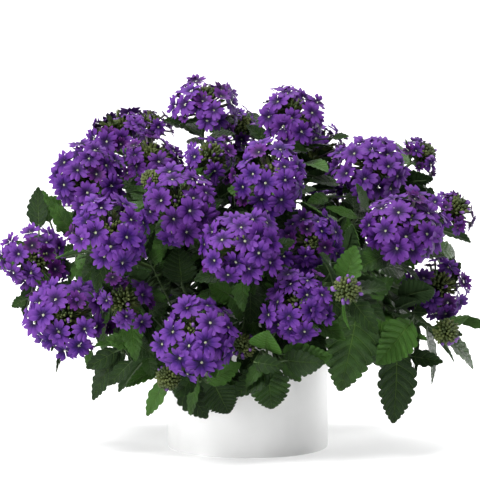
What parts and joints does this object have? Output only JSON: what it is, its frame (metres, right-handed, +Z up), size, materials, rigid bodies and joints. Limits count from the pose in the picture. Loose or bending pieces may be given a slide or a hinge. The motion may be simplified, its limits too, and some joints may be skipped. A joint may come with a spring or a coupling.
{
  "type": "verbena in a white cylinder pot",
  "caption": "Potted verbena: domed heads of violet florets on leafy square stems that spill over the rim of a plain white cylinder pot filled with potting mix.",
  "frame": {"origin": "middle of the pot's underside, on the surface that it stands on", "axes": "+Z up along the pot's axis, +X to the right and -Y towards the viewer of the picture"},
  "size_m": [0.4472, 0.4084, 0.3493],
  "materials": {
    "petal_violet": "velvety, deep violet",
    "leaf_green": "soft satin, dark green",
    "white_glaze": "smooth white satin",
    "potting_mix": "loose, matt, dark brown"
  },
  "bodies": {
    "root": {"pot": "white_glaze", "potting_mix": "potting_mix", "stem_01": "leaf_green", "stem_02": "leaf_green", "stem_03": "leaf_green", "stem_04": "leaf_green", "stem_05": "leaf_green", "stem_06": "leaf_green", "stem_07": "leaf_green", "stem_08": "leaf_green", "stem_09": "leaf_green", "stem_10": "leaf_green", "stem_11": "leaf_green", "stem_12": "leaf_green", "stem_13": "leaf_green", "bloom_01": "petal_violet", "bloom_02": "petal_violet", "bloom_03": "petal_violet", "bloom_04": "petal_violet", "bloom_05": "petal_violet", "bloom_06": "petal_violet", "bloom_07": "petal_violet", "bloom_08": "petal_violet", "bloom_09": "petal_violet", "bloom_10": "petal_violet", "bloom_11": "petal_violet", "bloom_12": "petal_violet", "bloom_13": "petal_violet", "bloom_14": "petal_violet", "bloom_15": "petal_violet", "bloom_16": "petal_violet", "bloom_17": "petal_violet", "bloom_18": "petal_violet", "bloom_19": "petal_violet", "bloom_20": "petal_violet", "bloom_21": "petal_violet", "bloom_22": "petal_violet", "bloom_23": "petal_violet", "bloom_24": "petal_violet", "bloom_25": "petal_violet", "bloom_26": "petal_violet", "bloom_27": "petal_violet", "bloom_28": "petal_violet", "bloom_29": "petal_violet", "bloom_30": "petal_violet", "bloom_31": "petal_violet"}
  },
  "joints": []
}
